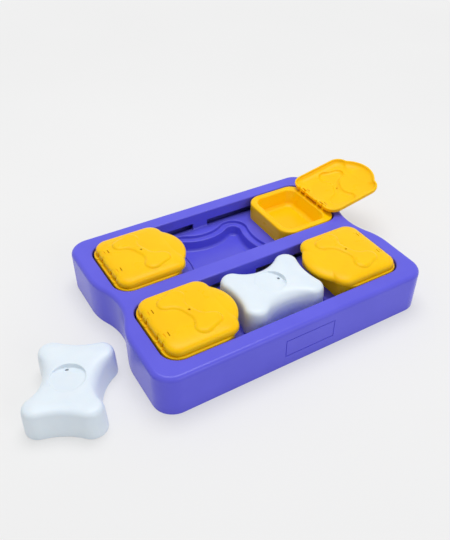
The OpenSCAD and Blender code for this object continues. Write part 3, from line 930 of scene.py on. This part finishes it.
# polished ABS: crisp edge glints over an even violet
violetAbs = mouldedPlastic("violetMouldedAbs", {
    "tones": [(0.35, "#5D5ADC"), (0.65, "#615EE0")], "cloudMm": 45, "smearMm": 30, "roughness": (0.2, 0.27),
    "sinkMm": 28, "sinkDeepMm": 0.04, "grainMm": 0.7, "grainDeepMm": 0.002,
    "ior": 1.53, "shine": 0.25, "glow": 0.0, "glowReach": (1, 1, 1), "glowMm": 0.5})
# polypropylene: waxy, light runs a little way in and comes back warmer
yellowPp = mouldedPlastic("yellowMouldedPolypropylene", {
    "tones": [(0.35, "#FFC300"), (0.65, "#FFC800")], "cloudMm": 35, "smearMm": 22, "roughness": (0.26, 0.36),
    "sinkMm": 20, "sinkDeepMm": 0.04, "grainMm": 0.7, "grainDeepMm": 0.003,
    "ior": 1.49, "shine": 0.16, "glow": 0.3, "glowReach": (1, 0.5, 0.08), "glowMm": 3})
# the covers' polypropylene is a pale blue, smoother and slightly milky
paleBluePp = mouldedPlastic("paleBlueMouldedPolypropylene", {
    "tones": [(0.35, "#DDE8F2"), (0.65, "#E3EDF5")], "cloudMm": 40, "smearMm": 25, "roughness": (0.3, 0.38),
    "sinkMm": 25, "sinkDeepMm": 0.04, "grainMm": 0.7, "grainDeepMm": 0.003,
    "ior": 1.49, "shine": 0.4, "glow": 0.2, "glowReach": (0.6, 0.8, 1), "glowMm": 1.2})

finishes = [(violetAbs, "violet_plastic", [trayPiece]),
            (yellowPp, "yellow_plastic", list(boxes.values()) + list(lids.values())),
            (paleBluePp, "white_plastic", [coverSeated, coverLoose])]
for material, slotName, group in finishes:
    for piece in group:
        piece.data.materials.clear()
        piece.data.materials.append(material)
for name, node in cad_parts.items():
    kind = name.split("_")[0]
    node.data.materials.clear()
    node.data.materials.append({"box": yellowPp, "lid": yellowPp, "cover": paleBluePp}.get(kind, violetAbs))
print("finishes on")


# each piece rides on its body

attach(trayPiece, "tray")
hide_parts(*[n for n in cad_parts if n.split("_")[0] in ("tray", "trough", "well")])
for spot in boxes:
    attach(boxes[spot], "box_" + spot)
    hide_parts("box_" + spot)
    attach(lids[spot], "lid_" + spot)
    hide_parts("lid_" + spot)
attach(coverSeated, "cover_seated")
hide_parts("cover_seated")
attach(coverLoose, "cover_loose")
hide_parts("cover_loose")


# floor, light and camera

# metres here, as the studio is not a part
studio = {
    "air": "#F1F1F1", "paper": ("#ECECEC", "#EFEFEF"), "paperGlow": 1.03, "floorSize": 9,
    # how much of its shadows the paper keeps, and from and to which distance they fade
    "shadow": 0.45, "fade": (0.35, 1.2),
    # half the length and width of the floor that lies in the tray's dark
    "covered": (0.144, 0.116),
    "fill": 0.62,
    "topSoftBox": {"place": (0.15, 0.35, 1.8), "wide": 1.2, "high": 1.0, "power": 17.8},
    "frontFill": {"place": (0.6, -2.4, 1.3), "wide": 1.6, "high": 1.2, "power": 11},
}


def seenRays(tree, place):
    # 1 for what the camera sees, straight or in a mirror or through glass
    x, y = place
    rays = addNode(tree, "ShaderNodeLightPath", (x, y))
    either = addNode(tree, "ShaderNodeMath", (x + 200, y), {"operation": "MAXIMUM"},
                     {0: rays.outputs["Is Camera Ray"], 1: rays.outputs["Is Glossy Ray"]})
    return addNode(tree, "ShaderNodeMath", (x + 400, y), {"operation": "MAXIMUM"},
                   {0: either.outputs[0], 1: rays.outputs["Is Transmission Ray"]}).outputs[0]


bpy.ops.object.select_all(action="DESELECT")
bpy.ops.mesh.primitive_grid_add(x_subdivisions=8, y_subdivisions=8, size=studio["floorSize"])
floor = bpy.context.object
floor.name = "floor"
paper, tree = newMaterial("paperSweep")
place = addNode(tree, "ShaderNodeTexCoord", (-1000, 0)).outputs["Object"]
speck = addNode(tree, "ShaderNodeTexNoise", (-600, 0), {"Scale": 3, "Detail": 2}, {"Vector": place})
shade = addNode(tree, "ShaderNodeValToRGB", (-400, 0), {}, {"Fac": speck.outputs["Fac"]})
for stop, code in zip(shade.color_ramp.elements, studio["paper"]):
    stop.color = linear(code)
lit = addNode(tree, "ShaderNodeBsdfDiffuse", (-100, -100), {}, {"Color": shade.outputs["Color"]})
plain = addNode(tree, "ShaderNodeEmission", (-100, 100), {"Strength": studio["paperGlow"]},
                {"Color": shade.outputs["Color"]})
# the paper looks white where it is open to the studio, and keeps its own light under the tray
away = addNode(tree, "ShaderNodeVectorMath", (-800, 600), {"operation": "ABSOLUTE"}, {0: place})
spot = addNode(tree, "ShaderNodeSeparateXYZ", (-600, 600), {}, {0: away.outputs[0]})
openX, openY = [addNode(tree, "ShaderNodeMath", (-400, y), {"operation": "GREATER_THAN", 1: reach},
                        {0: spot.outputs[side]})
                for side, y, reach in zip("XY", (700, 550), studio["covered"])]
bare = addNode(tree, "ShaderNodeMath", (-200, 600), {"operation": "MAXIMUM"},
               {0: openX.outputs[0], 1: openY.outputs[0]})
bareSeen = addNode(tree, "ShaderNodeMath", (0, 500), {"operation": "MULTIPLY"},
                   {0: bare.outputs[0], 1: seenRays(tree, (-400, 300))})
# and shadows fade out with distance, so that it runs into the backdrop without a seam
far = addNode(tree, "ShaderNodeVectorMath", (-400, 850), {"operation": "LENGTH"}, {0: place})
fade = addNode(tree, "ShaderNodeMapRange", (-200, 850),
               {"From Min": studio["fade"][0], "From Max": studio["fade"][1],
                "To Min": 1 - studio["shadow"], "To Max": 1}, {"Value": far.outputs["Value"]})
seen = addNode(tree, "ShaderNodeMath", (150, 400), {"operation": "MULTIPLY"},
               {0: bareSeen.outputs[0], 1: fade.outputs["Result"]})
sheet = addNode(tree, "ShaderNodeMixShader", (150, 0), {},
                {0: seen.outputs[0], 1: lit.outputs[0], 2: plain.outputs[0]})
addNode(tree, "ShaderNodeOutputMaterial", (350, 0), {}, {"Surface": sheet.outputs[0]})
floor.data.materials.append(paper)

world = bpy.data.worlds.new("studioAir")
bpy.context.scene.world = world
world.use_nodes = True
tree = world.node_tree
tree.nodes.clear()
glow = addNode(tree, "ShaderNodeMapRange", (-350, 200), {"To Min": studio["fill"], "To Max": 1},
               {"Value": seenRays(tree, (-900, 200))})
air = addNode(tree, "ShaderNodeBackground", (-100, 0), {"Color": linear(studio["air"])},
              {"Strength": glow.outputs["Result"]})
addNode(tree, "ShaderNodeOutputWorld", (150, 0), {}, {"Surface": air.outputs[0]})


def softBox(name):
    look = studio[name]
    bpy.ops.object.light_add(type="AREA", location=look["place"])
    lamp = bpy.context.object
    lamp.name = name
    lamp.data.shape = "RECTANGLE"
    lamp.data.size = look["wide"]
    lamp.data.size_y = look["high"]
    lamp.data.energy = look["power"]
    lamp.rotation_euler = (-Vector(look["place"])).to_track_quat("-Z", "Y").to_euler()


softBox("topSoftBox")
softBox("frontFill")

# metres, and a focal length in pixels of a frame that is 540 high
cameraView = {
    "spot": (-0.2954, -0.4619, 0.4728), "aim": (0.0035, 0.0008, 0.0212), "roll": 1.67,
    "focalPixels": 631.62, "frameHeight": 540, "sensor": 36, "shift": (-0.0384, 0.0091), "near": 0.01,
}
spot, roll = Vector(cameraView["spot"]), math.radians(cameraView["roll"])
bpy.ops.object.camera_add(location=spot)
camera = bpy.context.object
camera.name = "camera"
back = (spot - Vector(cameraView["aim"])).normalized()
right = Vector((0, 0, 1)).cross(back).normalized()
up = back.cross(right)
turned = Matrix((math.cos(roll) * right + math.sin(roll) * up,
                 -math.sin(roll) * right + math.cos(roll) * up, back)).transposed()
camera.rotation_euler = turned.to_euler()
camera.data.sensor_width = cameraView["sensor"]
camera.data.lens = cameraView["focalPixels"] / cameraView["frameHeight"] * cameraView["sensor"]
camera.data.shift_x, camera.data.shift_y = cameraView["shift"]
camera.data.clip_start = cameraView["near"]
bpy.context.scene.camera = camera
bpy.context.scene.view_settings.view_transform = "Standard"
print("studio ready")
